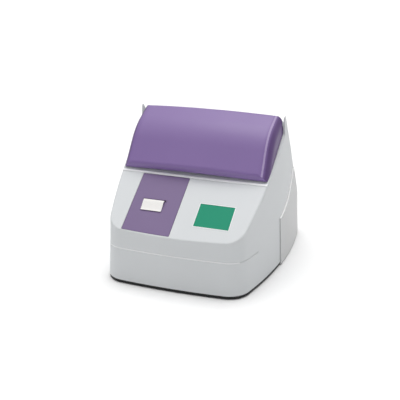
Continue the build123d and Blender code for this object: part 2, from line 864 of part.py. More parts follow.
def side_plate(side):
    """Aluminium plate that carries the rotor bearing, the reader rails and the drive."""
    y0 = front_y + side_plate_front_from_front
    y1 = front_y + side_plate_rear_from_front
    z0 = tray_bottom + tray_floor
    upright = Pos((y0 + y1) / 2, z0 + tall / 2) * Rectangle(y1 - y0, tall)
    shoulder = slope_point(tall / 2, -side_plate_below_slope)
    start = slope_point(-tall / 2, -side_plate_below_slope)
    under_deck = make_face(Polyline(start, shoulder, (shoulder[0], -tall), (start[0], -tall), close=True))
    face = upright & under_deck & roof_face(wall + side_plate_gap)
    face = fillet(face.vertices(), side_plate_corner)
    front_window = (plate_front_window_from_edge, plate_front_window_height)
    rear_window = (plate_rear_window_from_edge, plate_rear_window_height)
    for from_edge, height in (front_window, rear_window):
        window = RectangleRounded(plate_window_width, height, plate_window_round)
        face = face - Pos(y0 + from_edge, z0 + plate_window_low + height / 2) * window
    plate = Pos(side_plate_half, 0, 0) * extrude(side_view * face, amount=side_plate_thickness)
    out = side_plate_half + side_plate_thickness
    plate = plate - rod_x(rotor_y, rotor_z, bearing_radius + running_fit, side_plate_half - 1, out + 1)
    for z in (rail_low, rail_high):
        plate = plate - rod_x(rail_y, z, rail_radius + press_gap, side_plate_half - 1, out + 1)
    middle = (rail_low + rail_high) / 2
    plate = plate - rod_x(rail_y, middle, screw_radius + running_fit, side_plate_half - 1, out + 1)
    if side > 0:
        plate = plate - rod_x(drive_y, drive_height, motor_boss_radius + running_fit, side_plate_half - 1, out + 1)
    foot = level_box(side_plate_half - side_plate_foot, side_plate_half, y0 + 10, y1 - 10, z0, z0 + 3)
    plate = plate + foot
    return plate if side > 0 else mirror(plate, about=Plane.YZ)


def make_side_plate_right():
    return side_plate(1)


def make_side_plate_left():
    return side_plate(-1)


def bearing(side):
    """Flanged ball bearing in a side plate, shown as its outer ring, balls' cage and inner ring."""
    x0 = side_plate_half
    ring = rod_x(rotor_y, rotor_z, bearing_radius, x0, x0 + bearing_width)
    flange = rod_x(rotor_y, rotor_z, bearing_flange_radius, x0 + side_plate_thickness,
                   x0 + side_plate_thickness + bearing_flange)
    solid = ring + flange
    solid = solid - rod_x(rotor_y, rotor_z, shaft_radius + running_fit, x0 - 1, x0 + bearing_width + 1)
    return solid if side > 0 else mirror(solid, about=Plane.YZ)


def make_rotor_bearings():
    return bearing(1) + bearing(-1)


pulley_x = side_plate_half + side_plate_thickness + pulley_from_plate


def pulley(y, z, radius, bore):
    """Belt pulley with two flanges."""
    body = rod_x(y, z, radius, pulley_x, pulley_x + pulley_width)
    for x in (pulley_x, pulley_x + pulley_width - pulley_flange):
        body = body + rod_x(y, z, radius + pulley_flange_extra, x, x + pulley_flange)
    return body - rod_x(y, z, bore, pulley_x - 1, pulley_x + pulley_width + 1)


def make_rotor_pulley():
    return pulley(rotor_y, rotor_z, rotor_pulley_radius, shaft_radius + press_gap)


def make_motor_pulley():
    """Drive pulley, made with the motor's shaft."""
    wheel = pulley(drive_y, drive_height, motor_pulley_radius, motor_shaft_radius)
    return wheel + rod_x(drive_y, drive_height, motor_shaft_radius, side_plate_half - 20, pulley_x + pulley_width + 1)


def make_drive_belt():
    """Flat belt round both pulleys, a hair clear of them."""
    r1 = rotor_pulley_radius + belt_gap
    r2 = motor_pulley_radius + belt_gap

    def loop(grow):
        a, b = r1 + grow, r2 + grow
        big = Pos(rotor_y, rotor_z) * Circle(a)
        small = Pos(drive_y, drive_height) * Circle(b)
        dy, dz = drive_y - rotor_y, drive_height - rotor_z
        length = sqrt(dy * dy + dz * dz)
        ux, uz = dy / length, dz / length
        c = (a - b) / length
        sgn = sqrt(1 - c * c)
        pts = []
        for s in (1, -1):
            nx, nz = ux * c - s * uz * sgn, uz * c + s * ux * sgn
            pts.append((rotor_y + a * nx, rotor_z + a * nz))
            pts.append((drive_y + b * nx, drive_height + b * nz))
        web = make_face(Polyline(pts[0], pts[1], pts[3], pts[2], close=True))
        return big + small + web

    x0 = pulley_x + (pulley_width - belt_width) / 2
    band = loop(belt_thickness) - loop(0)
    return Pos(x0, 0, 0) * extrude(side_view * band, amount=belt_width)


def make_rotor_motor():
    """Square stepper motor on the inner side of the right plate."""
    half = motor_size / 2
    section = Pos(drive_y, drive_height) * Rectangle(motor_size, motor_size)
    section = chamfer(section.vertices(), motor_corner)
    can = Pos(side_plate_half - motor_length, 0, 0) * extrude(side_view * section, amount=motor_length)
    can = can + rod_x(drive_y, drive_height, motor_boss_radius, side_plate_half - 1,
                      side_plate_half + motor_boss_height)
    return can - rod_x(drive_y, drive_height, motor_shaft_radius + running_fit, side_plate_half - 22,
                       side_plate_half + 5)


def make_reader_rails():
    """Two ground steel rods between the side plates."""
    reach = side_plate_half + side_plate_thickness
    low = rod_x(rail_y, rail_low, rail_radius, -reach, reach)
    return low + rod_x(rail_y, rail_high, rail_radius, -reach, reach)


screw_z = (rail_low + rail_high) / 2


def make_lead_screw():
    """Lead screw that draws the reader along the rails."""
    return rod_x(rail_y, screw_z, screw_radius, -side_plate_half - side_plate_thickness - 12,
                 side_plate_half + side_plate_thickness + 2)


def make_reader_motor():
    """Small stepper on the outer side of the left plate, turning the lead screw."""
    x1 = -side_plate_half - side_plate_thickness
    section = Pos(rail_y, screw_z) * Rectangle(reader_motor_size, reader_motor_size)
    section = chamfer(section.vertices(), motor_corner)
    can = Pos(x1 - reader_motor_length, 0, 0) * extrude(side_view * section, amount=reader_motor_length)
    return can - rod_x(rail_y, screw_z, screw_radius + running_fit, x1 - 13, x1 + 1)


def make_reader_carriage():
    """Carriage on the rails and the lead screw."""
    x0 = carriage_home - carriage_width / 2
    y0 = front_y + carriage_front_from_front
    y1 = carriage_rear_y
    block = level_box(x0, x0 + carriage_width, y0 + 6, y1, rail_low - carriage_margin, rail_high + carriage_margin)
    nose = level_box(x0 + 4, x0 + carriage_width - 4, y0 + sensor_reach, y0 + 7, screw_z - 14, screw_z + 14)
    block = block + nose
    for z in (rail_low, screw_z, rail_high):
        block = block - rod_x(rail_y, z, rail_radius + running_fit, x0 - 1, x0 + carriage_width + 1)
    return block


def make_optical_sensor():
    """Light source and receiver block on the carriage's front."""
    y0 = front_y + carriage_front_from_front
    half = sensor_width / 2
    head = level_box(carriage_home - half, carriage_home + half, y0, y0 + sensor_reach,
                     screw_z - sensor_height / 2, screw_z + sensor_height / 2)
    return head


def make_touch_glass():
    """Touch panel over the display, flush in the deck."""
    half_w = display_width / 2
    half_l = display_length / 2
    x = display_centre
    t = display_t
    return slope_box(x - half_w, x + half_w, t - half_l, t + half_l, -glass_recess - glass_thickness, -glass_recess)


def make_display_module():
    """Liquid crystal module with its backlight, held under the panel."""
    half_w = display_width / 2 + display_frame
    half_l = display_length / 2 + display_frame
    x = display_centre
    t = display_t
    top = -wall
    body = slope_box(x - half_w, x + half_w, t - half_l, t + half_l, top - module_thickness, top)
    lip = slope_box(x - half_w + display_frame, x + half_w - display_frame, t - half_l + display_frame,
                    t + half_l - display_frame, top - 1, -glass_recess - glass_thickness)
    return body + lip


def make_printer_door():
    """Purple printer cover: a plate on two hinge pins, with a slot for the paper."""
    plate = slope * Pos(0, 0, -door_thickness) * extrude(door_outline(0), amount=door_thickness)
    x0 = door_centre - door_width / 2
    x1 = door_centre + door_width / 2
    t_hinge = door_hinge_t()
    slot = slope_box(slip_centre - slot_width / 2, slip_centre + slot_width / 2,
                     slot_t - slot_length / 2, slot_t + slot_length / 2,
                     -door_thickness - 1, 1)
    plate = plate - slot
    for x in (x0 + 4, x1 - 4 - door_rib_thickness):
        rib = slope_box(x, x + door_rib_thickness, t_hinge + 8, door_top - 8, -door_rib_height, -door_thickness)
        plate = plate + rib
    knuckle = slope * Pos(door_centre, t_hinge, -door_hinge_depth) * Rot(0, 90, 0) * Cylinder(2.2, door_width - 0.02)
    below = slope_box(-tall, tall, -tall, tall, -tall, -0.2)
    plate = plate + (knuckle & below)
    tab = slope_box(door_centre - 8, door_centre + 8, door_top - 10, door_top - 7, -door_rib_height - 3,
                    -door_thickness)
    return plate + door_pin_rod(0) + tab


def make_printer_bay():
    """Open box under the printer door, with the door's pin bearings in its cheeks."""
    x0 = door_centre - door_width / 2 - door_gap
    x1 = door_centre + door_width / 2 + door_gap
    t0 = door_hinge_t() - 3.0
    t1 = door_top - 4.0
    top = -wall - bay_top_clearance
    outer = slope_box(x0 - bay_wall, x1 + bay_wall, t0 - bay_wall, t1 + bay_wall, -bay_depth, top)
    inner = slope_box(x0, x1, t0, t1, -bay_depth + bay_wall, top + 1)
    sweep = slope * Pos(door_centre, door_hinge_t(), -door_hinge_depth) * Rot(0, 90, 0)
    return outer - inner - sweep * Cylinder(door_sweep_radius, door_width + 2 * door_gap)


def make_paper_spindle():
    """Rod across the bay that carries the paper roll."""
    x0 = door_centre - door_width / 2 - door_gap
    x1 = door_centre + door_width / 2 + door_gap
    y, z = slope_point(roll_t, -roll_depth)
    return rod_x(y, z, roll_spindle_radius, x0, x1)


def make_paper_roll():
    """Roll of printing paper on its core."""
    y, z = slope_point(roll_t, -roll_depth)
    roll = rod_x(y, z, roll_radius, slip_centre - paper_width / 2, slip_centre + paper_width / 2)
    return roll - rod_x(y, z, roll_spindle_radius + running_fit, slip_centre - paper_width, slip_centre + paper_width)


def make_platen_roller():
    """Rubber roller that feeds the paper, with its gear."""
    y, z = slope_point(platen_t, -platen_depth)
    x0 = slip_centre - paper_width / 2 - 1
    x1 = slip_centre + paper_width / 2 + 1
    roller = rod_x(y, z, platen_radius, x0, x1)
    shaft = rod_x(y, z, platen_shaft_radius, slip_centre - printer_frame_half - 1.5,
                  slip_centre + printer_frame_half + 8)
    gear = rod_x(y, z, platen_gear_radius, slip_centre + printer_frame_half + 1.5,
                 slip_centre + printer_frame_half + 1.5 + platen_gear_width)
    return roller + shaft + gear


def make_printer_frame():
    """Pressed frame of the print mechanism, with the roller's bearings in its cheeks."""
    half = printer_frame_half
    t0 = platen_t - 12
    t1 = platen_t + 14
    low = -platen_depth - printer_frame_depth
    outer = slope_box(slip_centre - half, slip_centre + half, t0, t1, low, -platen_depth + 5)
    w = printer_frame_wall
    inner = slope_box(slip_centre - half + w, slip_centre + half - w, t0 - 1, t1 + 1, low + w, 0)
    frame = outer - inner
    y, z = slope_point(platen_t, -platen_depth)
    frame = frame - rod_x(y, z, platen_shaft_radius + running_fit, slip_centre - half - 2, slip_centre + half + 2)
    leg = slope_box(slip_centre - half, slip_centre + half, t0 + 4, t1 - 4, -bay_depth + bay_wall, low)
    return frame + leg


def make_thermal_head():
    """Heating bar under the roller."""
    half = printer_frame_half - printer_frame_wall
    top = -platen_depth - platen_radius - 0.3
    low = -platen_depth - printer_frame_depth + printer_frame_wall
    return slope_box(slip_centre - half, slip_centre + half, platen_t - 7, platen_t + 7, low, top)


def make_paper_slip():
    """Printed strip coming out of the slot and lying down the door."""
    half = paper_width / 2
    start = slot_t
    lift = slip_lift
    path = [(start, -door_thickness - 2), (start - 0.6, lift * 0.9), (start - 4, lift), (start - slip_length, 0.45)]
    lower = FilletPolyline(*path, radius=0.5)
    face = trace(lower, paper_thickness)
    solid = extrude(Plane.YZ * face, amount=half, both=True)
    return slope * Pos(slip_centre, 0, 0) * solid


def make_base_tray():
    """Black base moulding; its rim is the dark line round the front and sides."""
    front = extrude(plan_face(tray_inset), amount=tray_rim)
    front = front & level_box(-tall, tall, -tall, seam_y - seam_gap, -1, tray_rim + 1)
    rear = extrude(plan_face(tray_rear_inset), amount=tray_rim)
    rear = rear & level_box(-tall, tall, seam_y - seam_gap - 1, tall, -1, tray_rim + 1)
    hollow = extrude(plan_face(tray_rim_width + tray_rear_inset), amount=tray_rim)
    tray = front + rear - Pos(0, 0, tray_floor) * hollow
    tray = Pos(0, 0, tray_bottom) * tray
    for x, y in foot_places():
        tray = tray - Pos(x, y, tray_bottom) * Cylinder(foot_radius + 0.2, 2 * foot_recess)
    return tray


def foot_places():
    x = body_width / 2 - foot_inset
    return [(sx * x, sy * (body_depth / 2 - foot_inset)) for sx in (-1, 1) for sy in (-1, 1)]


def make_feet():
    """Four rubber feet."""
    solid = None
    height = foot_height + foot_recess
    for x, y in foot_places():
        foot = Pos(x, y, height / 2) * Cylinder(foot_radius, height)
        foot = chamfer(foot.edges().group_by(Axis.Z)[0], 0.8)
        solid = foot if solid is None else solid + foot
    return solid


back_plane_y = rear_y + rear_proud


def back_y(height):
    """Outer face of the back wall at a height, with its draft."""
    return back_plane_y - height * tan(radians(draft_angle))


draft_tan = tan(radians(draft_angle))
fan_back = rear_wall + fan_wall_gap
fan_roof = rear_back_height + fan_back * rear_fall - rear_wall * sqrt(1 + rear_fall * rear_fall)
fan_top = fan_roof / (1 - draft_tan * rear_fall) - fan_roof_gap
fan_height = fan_top - fan_size / 2
fan_rear_y = back_y(fan_top) - fan_back


def make_fan_frame():
    """Square fan housing behind the grille."""
    y1 = fan_rear_y
    y0 = y1 - fan_thickness
    half = fan_size / 2
    frame = level_box(fan_x - half, fan_x + half, y0, y1, fan_height - half, fan_height + half)
    frame = fillet(frame.edges().filter_by(Axis.Y), 5.0)
    bore = Pos(fan_x, (y0 + y1) / 2, fan_height) * Rot(90, 0, 0) * Cylinder(half - 2, fan_thickness + 2)
    hub = Pos(fan_x, y0 + 1.5, fan_height) * Rot(90, 0, 0) * Cylinder(fan_hub_radius, 3)
    frame = frame - bore
    for angle in range(0, 360, 90):
        arm = Pos(fan_x, y0 + 1.5, fan_height) * Rot(0, angle + 45, 0) * Pos(half / 2, 0, 0) * Box(half - 1, 3, 4)
        frame = frame + arm
    return frame + hub


def make_fan_impeller():
    """Seven-bladed impeller."""
    y1 = fan_rear_y
    y0 = y1 - fan_thickness
    reach = fan_size / 2 - 2 - fan_blade_clearance
    length = fan_thickness - 3 - 1.0
    middle = y0 + 3.3 + length / 2 - 0.3
    centre = Pos(fan_x, middle, fan_height)
    hub = centre * Rot(90, 0, 0) * Cylinder(fan_hub_radius, length - 1)
    for i in range(fan_blades):
        blade = Rot(0, 360 * i / fan_blades, 0) * Pos((reach + fan_hub_radius - 2) / 2, 0, 0) * Rot(35, 0, 0) * Box(
            reach - fan_hub_radius + 2, 1.4, 14)
        hub = hub + centre * blade
    bound = centre * Rot(90, 0, 0) * Cylinder(reach, length - 1)
    return hub & bound


def rear_cutters():
    """Holes in the back wall: grille, inlet, switch and data port."""
    cut = None
    for i in range(grille_slots):
        x = fan_x + (i - (grille_slots - 1) / 2) * grille_pitch
        dx = x - fan_x
        reach = sqrt(max((fan_size / 2 - 3) ** 2 - dx * dx, 1)) - grille_slot_width / 2
        slot = Pos(x, rear_y, fan_height) * Rot(90, 0, 0) * extrude(
            SlotCenterToCenter(2 * reach, grille_slot_width, rotation=90), amount=20, both=True)
        cut = slot if cut is None else cut + slot
    half_w, half_t = inlet_width / 2, inlet_tall / 2
    cut = cut + level_box(inlet_x - half_w, inlet_x + half_w, rear_y - 20, rear_y + 20,
                          inlet_height - half_t, inlet_height + half_t)
    half_w, half_t = switch_width / 2, switch_tall / 2
    cut = cut + level_box(inlet_x - half_w, inlet_x + half_w, rear_y - 20, rear_y + 20,
                          switch_height - half_t, switch_height + half_t)
    half_w, half_t = port_width / 2 - 5, port_tall / 2 - 1
    cut = cut + level_box(port_x - half_w, port_x + half_w, rear_y - 20, rear_y + 20,
                          port_height - half_t, port_height + half_t)
    return cut


def make_mains_inlet():
    """Three-pin mains inlet."""
    face_y = back_y(inlet_height)
    flange = level_box(inlet_x - inlet_width / 2 - 3, inlet_x + inlet_width / 2 + 3, face_y + 0.6,
                       face_y + 0.6 + inlet_flange, inlet_height - inlet_tall / 2 - 3, inlet_height + inlet_tall / 2 + 3)
    body = level_box(inlet_x - inlet_width / 2 + 0.3, inlet_x + inlet_width / 2 - 0.3, face_y - inlet_depth, face_y + 1,
                     inlet_height - inlet_tall / 2 + 0.3, inlet_height + inlet_tall / 2 - 0.3)
    socket = level_box(inlet_x - socket_width / 2, inlet_x + socket_width / 2, face_y - inlet_depth + 2.5, face_y + 9,
                       inlet_height - socket_tall / 2, inlet_height + socket_tall / 2)
    solid = flange + body - socket
    for dx, dz in ((-7, -1.5), (0, 2.0), (7, -1.5)):
        pin = level_box(inlet_x + dx - 1, inlet_x + dx + 1, face_y - inlet_depth + 1, face_y - 2,
                        inlet_height + dz - 2, inlet_height + dz + 2)
        solid = solid + pin
    return solid


def make_switch_housing():
    """Frame of the power switch."""
    face_y = back_y(switch_height)
    half_w, half_t = switch_width / 2, switch_tall / 2
    flange = level_box(inlet_x - half_w - 1.5, inlet_x + half_w + 1.5, face_y + 0.5, face_y + 2.0,
                       switch_height - half_t - 1.5, switch_height + half_t + 1.5)
    body = level_box(inlet_x - half_w + 0.3, inlet_x + half_w - 0.3, face_y - switch_depth, face_y + 1,
                     switch_height - half_t + 0.3, switch_height + half_t - 0.3)
    hollow = level_box(inlet_x - half_w + 1.5, inlet_x + half_w - 1.5, face_y - switch_depth + 3, face_y + 5,
                       switch_height - half_t + 1.5, switch_height + half_t - 1.5)
    pin_holes = rocker_pin(running_fit)
    return flange + body - hollow - pin_holes


def rocker_pivot():
    """Depth of the rocker's upright pin."""
    return back_y(switch_height) - rocker_pivot_depth


def rocker_pin(grow):
    """The rocker's two pin ends, in the frame's side walls."""
    length = switch_tall - rocker_pin_reach + 2 * grow
    return Pos(inlet_x, rocker_pivot(), switch_height) * Cylinder(rocker_pin_radius + grow, length)


def make_rocker():
    """Rocker of the power switch, tipped one way."""
    y = rocker_pivot()
    half = switch_width / 2 - rocker_end_gap
    rise = rocker_rise
    points = [(-half, 0), (-half, rise), (0, rise - rocker_dip), (half, rise), (half, 0), (0, -rocker_keel)]
    face = make_face(Polyline(*points, close=True))
    width = switch_tall - 3.6
    solid = extrude(Plane.XY * face, amount=width / 2, both=True)
    return Pos(inlet_x, y, switch_height) * solid + rocker_pin(0)


def make_data_port():
    """Nine-way data connector."""
    face_y = back_y(port_height)
    flange = level_box(port_x - port_width / 2, port_x + port_width / 2, face_y + 0.4, face_y + 1.4,
                       port_height - port_tall / 2, port_height + port_tall / 2)
    shell = level_box(port_x - 8.5, port_x + 8.5, face_y - 8, face_y + 6.5, port_height - 4.1, port_height + 4.1)
    hollow = level_box(port_x - 7.9, port_x + 7.9, face_y + 1.5, face_y + 8, port_height - 3.5, port_height + 3.5)
    return flange + shell - hollow


def make_power_supply():
    """Vented metal box of the power supply on the tray floor."""
    z0 = tray_bottom + tray_floor
    x1 = half_width - supply_from_side
    y1 = rear_y - supply_from_back
    x0 = x1 - supply_width
    y0 = y1 - supply_length
    top = z0 + supply_height
    box = level_box(x0, x1, y0, y1, z0, top)
    for i in range(supply_vents):
        x = x0 + supply_vent_margin + i * supply_vent_pitch
        vent = level_box(x, x + supply_vent_width, y0 + supply_vent_margin, y1 - supply_vent_margin,
                         top - supply_vent_depth, top + 1)
        box = box - vent
    return box


def board_corner():
    """The left front corner of the circuit board."""
    return board_from_side - half_width, rear_y - board_from_back - board_length


def make_control_board():
    """Main circuit board with its larger components."""
    z0 = tray_bottom + tray_floor + board_standoff
    x0, y0 = board_corner()
    board = level_box(x0, x0 + board_width, y0, y0 + board_length, z0, z0 + board_thickness)
    top = z0 + board_thickness
    processor = (20, 20, 28, 28, 3)
    driver = (70, 30, 18, 40, 6)
    capacitor = (110, 20, 24, 18, 14)
    connector = (30, 75, 60, 10, 9)
    for x, y, w, l, h in (processor, driver, capacitor, connector):
        board = board + level_box(x0 + x, x0 + x + w, y0 + y, y0 + y + l, top, top + h)
    return board


def make_board_standoffs():
    """Four pillars under the circuit board."""
    x0, y0 = board_corner()
    z = tray_bottom + tray_floor + board_standoff / 2
    pillar = Cylinder(standoff_radius, board_standoff)
    pillars = None
    for x in (x0 + standoff_inset, x0 + board_width - standoff_inset):
        for y in (y0 + standoff_inset, y0 + board_length - standoff_inset):
            placed = Pos(x, y, z) * pillar
            pillars = placed if pillars is None else pillars + placed
    return pillars


makers = {
    "front_housing": make_front_housing,
    "rear_housing": make_rear_housing,
    "hood_shell": make_hood_shell,
    "hinge_brackets": make_hinge_brackets,
    "hinge_pins": make_hinge_pins,
    "deck_frame": make_deck_frame,
    "lid_seal": make_lid_seal,
    "lid_buffers": make_lid_buffers,
    "sample_well": make_sample_well,
    "tube_rack_front": make_tube_rack_front,
    "tube_rack_rear": make_tube_rack_rear,
    "rotor_shaft": make_rotor_shaft,
    "rotor_end_left": make_rotor_end_left,
    "rotor_end_right": make_rotor_end_right,
    "side_plate_left": make_side_plate_left,
    "side_plate_right": make_side_plate_right,
    "rotor_bearings": make_rotor_bearings,
    "rotor_pulley": make_rotor_pulley,
    "motor_pulley": make_motor_pulley,
    "drive_belt": make_drive_belt,
    "rotor_motor": make_rotor_motor,
    "reader_rails": make_reader_rails,
    "lead_screw": make_lead_screw,
    "reader_motor": make_reader_motor,
    "reader_carriage": make_reader_carriage,
    "optical_sensor": make_optical_sensor,
    "touch_glass": make_touch_glass,
    "display_module": make_display_module,
    "printer_door": make_printer_door,
    "paper_slip": make_paper_slip,
    "printer_bay": make_printer_bay,
    "paper_spindle": make_paper_spindle,
    "paper_roll": make_paper_roll,
    "platen_roller": make_platen_roller,
    "printer_frame": make_printer_frame,
    "thermal_head": make_thermal_head,
    "base_tray": make_base_tray,
    "feet": make_feet,
    "fan_frame": make_fan_frame,
    "fan_impeller": make_fan_impeller,
    "mains_inlet": make_mains_inlet,
    "switch_housing": make_switch_housing,
    "rocker": make_rocker,
    "data_port": make_data_port,
    "power_supply": make_power_supply,
    "control_board": make_control_board,
    "board_standoffs": make_board_standoffs,
}

if __name__ == "__main__":
    os.makedirs("parts", exist_ok=True)
    for name, maker in makers.items():
        export_step(maker(), "parts/" + name + ".step")
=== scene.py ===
# %% [markdown]
# A bench analyzer that measures how fast red cells settle. Its case, lid, printer and
# rotor are already modelled as solids, and this lesson gives them their finishes and adds
# the small things that solids don't need. It starts by loading the solids, which stay
# where they are.

# %% Load the solids
from math import cos, pi, radians, sin

import bpy
from mathutils import Matrix, Vector


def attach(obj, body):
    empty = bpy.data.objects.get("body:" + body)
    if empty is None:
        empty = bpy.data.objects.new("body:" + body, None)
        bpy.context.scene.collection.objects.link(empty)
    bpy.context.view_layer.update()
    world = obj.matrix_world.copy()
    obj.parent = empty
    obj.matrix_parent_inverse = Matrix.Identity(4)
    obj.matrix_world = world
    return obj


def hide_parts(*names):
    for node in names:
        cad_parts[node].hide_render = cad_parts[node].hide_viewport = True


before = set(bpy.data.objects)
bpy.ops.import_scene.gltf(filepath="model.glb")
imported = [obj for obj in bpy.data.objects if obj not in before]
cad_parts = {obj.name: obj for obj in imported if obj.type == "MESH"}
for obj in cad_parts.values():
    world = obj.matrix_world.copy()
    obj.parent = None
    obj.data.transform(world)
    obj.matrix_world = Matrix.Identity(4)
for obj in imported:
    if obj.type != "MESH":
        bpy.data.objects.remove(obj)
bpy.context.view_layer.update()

# %% [markdown]
# A product photograph is taken from a tripod, a little to the right and well above the
# bench, with a long lens. The camera's place, turn and tilt were worked out from straight
# edges in the picture, so they are typed in here. A long lens keeps the sides parallel.

# %% Camera
CAMERA_PLACE = (0.6975, -1.9830, 0.9283)
CAMERA_PAN = 19.84
CAMERA_TILT = 20.16
LENS = 72.0
SENSOR = 36.0
bpy.ops.object.camera_add(
    location=CAMERA_PLACE,
    rotation=(radians(90 - CAMERA_TILT), 0, radians(CAMERA_PAN)),
)
camera = bpy.context.object
camera.data.lens = LENS
camera.data.sensor_width = SENSOR
bpy.context.scene.camera = camera
print("camera at", tuple(camera.location))

# %% [markdown]
# Finishes and light are node trees. Typing every node is slow to read, so one small class
# holds a socket and lets Python's own operators add the Math nodes. Everything else goes
# through one method that takes the node's type, its settings and its inputs. The same
# class serves the studio's sky and every material.

# %% Shader sums


class Wire:
    """One output socket of a tree. The operators add Math nodes to that tree."""

    def __init__(self, tree, socket):
        self.tree = tree
        self.socket = socket

    def sum(self, operation, first, second):
        return self.tree.node("ShaderNodeMath", {"operation": operation}, {0: first, 1: second})

    def __add__(self, other):
        return self.sum("ADD", self, other)

    def __radd__(self, other):
        return self.sum("ADD", other, self)

    def __rsub__(self, other):
        return self.sum("SUBTRACT", other, self)

    def __mul__(self, other):
        return self.sum("MULTIPLY", self, other)

    def __rmul__(self, other):
        return self.sum("MULTIPLY", other, self)

    def __gt__(self, other):
        return self.sum("GREATER_THAN", self, other)

    def __lt__(self, other):
        return self.sum("LESS_THAN", self, other)


class Tree:
    """A node tree that is built from plain calls."""

    def __init__(self, tree, shader):
        self.tree = tree
        self.shader = tree.nodes[shader]

    def put(self, socket, value):
        """Links a wire to a socket, or sets the socket's own value."""
        if isinstance(value, Wire):
            self.tree.links.new(value.socket, socket)
        else:
            socket.default_value = value

    def node(self, kind, settings=None, inputs=None, out=0):
        """Adds one node: its settings first, then its inputs by name or number."""
        made = self.tree.nodes.new(kind)
        for key, value in (settings or {}).items():
            setattr(made, key, value)
        for key, value in (inputs or {}).items():
            self.put(made.inputs[key], value)
        return Wire(self, made.outputs[out])

    def set(self, **inputs):
        """Sets the shader's sockets; an underscore stands for a space."""
        for key, value in inputs.items():
            self.put(self.shader.inputs[key.replace("_", " ")], value)


class Finish(Tree):
    """A material with one Principled shader."""

    def __init__(self, name):
        self.material = bpy.data.materials.new(name)
        self.material.use_nodes = True
        super().__init__(self.material.node_tree, "Principled BSDF")

    def place(self):
        """The point of the surface, in metres."""
        return self.node("ShaderNodeTexCoord", out="Object")

    def noise(self, scale, detail=2.0, stretch=(1, 1, 1)):
        """Cloudy values about 0.5, scale lumps to the metre."""
        at = self.node("ShaderNodeMapping", None, {"Vector": self.place(), "Scale": stretch})
        lumps = {"Vector": at, "Scale": scale, "Detail": detail}
        return self.node("ShaderNodeTexNoise", None, lumps)

    def mix(self, amount, first, second):
        """A colour between two colours."""
        return self.node(
            "ShaderNodeMix",
            {"data_type": "RGBA"},
            {"Factor": amount, "A": first, "B": second},
            out="Result",
        )

    def bump(self, height, depth, strength=1.0):
        """Tilts the surface by a height; depth is in metres."""
        return self.node(
            "ShaderNodeBump", None, {"Height": height, "Distance": depth, "Strength": strength}
        )


def tone(code):
    """A screen colour such as 8a6fa3, as the linear colour that a shader needs."""
    parts = [int(code[i : i + 2], 16) / 255 for i in (0, 2, 4)]
    line = [c / 12.92 if c < 0.04045 else ((c + 0.055) / 1.055) ** 2.4 for c in parts]
    return (*line, 1.0)


print("shader sums ready")

# %% [markdown]
# The studio is a white sweep that burns out to pure white, as in a catalogue. Most light
# comes from straight above, so the sky is bright at its top and dim near the horizon, and
# upright faces get their light from the white floor: that is what makes the front darker
# than the sloped deck. It is stronger on the left, so that the right side falls off, and
# a white wall behind puts a sheen on the lid. One wide sun from above and a little behind
# draws the faint shadow under the front edge. Where the sky itself is seen, past the far
# end of the floor, it is plain white. The floor, studio_floor, isn't part of
# the object.

# %% Studio
FLOOR_SIZE = 60.0
FLOOR_TONE = 0.93
FLOOR_ROUGH = 0.9
FLOOR_BELOW = 0.0005
SKY_LOW = 0.10
SKY_HIGH = 1.40
SKY_LEFT = 0.5
WALL_BEHIND = 0.6
SUN_POWER = 1.08
SUN_SPREAD = 40.0
SUN_FROM = Vector((0.0, 0.18, 1.0))

bpy.ops.mesh.primitive_plane_add(size=FLOOR_SIZE, location=(0, 0, -FLOOR_BELOW))
floor = bpy.context.object
floor.name = "studio_floor"
floor_paint = Finish("studio_floor")
floor_paint.set(
    Base_Color=(FLOOR_TONE, FLOOR_TONE, FLOOR_TONE, 1),
    Roughness=FLOOR_ROUGH,
    Specular_IOR_Level=0.0,
)
floor.data.materials.append(floor_paint.material)

world = bpy.data.worlds.new("studio_sky")
bpy.context.scene.world = world
world.use_nodes = True
sky = Tree(world.node_tree, "Background")
direction = sky.node("ShaderNodeTexCoord", out="Generated")
split = "ShaderNodeSeparateXYZ"
across, behind, up = (sky.node(split, None, {"Vector": direction}, out=axis) for axis in "XYZ")
soft_box = SKY_HIGH * (up * up) * (1 - SKY_LEFT * across)
white_wall = WALL_BEHIND * ((behind > 0) * (behind * behind))
light = SKY_LOW + soft_box + white_wall
seen = sky.node("ShaderNodeLightPath", out="Is Camera Ray")
sky.set(Color=(1.0, 1.0, 1.0, 1), Strength=seen + (1 - seen) * light)

bpy.ops.object.light_add(type="SUN", rotation=SUN_FROM.to_track_quat("Z", "Y").to_euler())
sun = bpy.context.object
sun.name = "wide_sun"
sun.data.energy = SUN_POWER
sun.data.angle = radians(SUN_SPREAD)
bpy.context.scene.view_settings.view_transform = "Standard"
print("studio ready")

# %% [markdown]
# Most of the object is moulded plastic. Real mouldings aren't one flat colour: the tone
# drifts a little, the surface has a fine spark-eroded grain that breaks up highlights, and
# gloss changes where hands touch. One function makes all of them, and the purple lid gets
# the finest grain. A painted highlight runs along the rear cover's swept edge: a near-white
# line in its colour along the seam. In side view that edge is an arc, so the line is where
# the distance from its centre is right.
# The lid's flat ends get painted shade, a deeper purple, and the right one gets a painted
# highlight, a pale line round it. Both follow the way the surface faces: how far its normal
# leans towards an end.

# %% Moulded plastics
DRIFT_SCALE = 5.0
SMEAR_SCALE = 22.0
SMEAR_STRETCH = (1, 0.6, 1)
GLOSS_SPREAD = 0.1
GRAIN_STRENGTH = 0.6
COAT_ROUGH = 0.25
# The seam's arc in side view: a painted highlight, a near-white line, runs along it on the rear
# cover.
SEAM_CENTRE = (0, -0.07123, 0.40091)
SEAM_RADIUS = 0.26933
SEAM_EDGE = 0.0019
SEAM_KNEE = 0.137
# Painted shade: the lid's ends are darkened to a deeper purple as the normal leans towards an
# end.
END_STARTS = 0.48
END_FULL = 0.70
END_SHADE_TONE = "5f477a"
# Painted highlight: a pale line on the right end's rounding, where the normal leans that way.
HIGHLIGHT_FROM = 0.38
HIGHLIGHT_TO = 0.52
HIGHLIGHT_SHARE = 0.55
HIGHLIGHT_TONE = "c3b2d6"


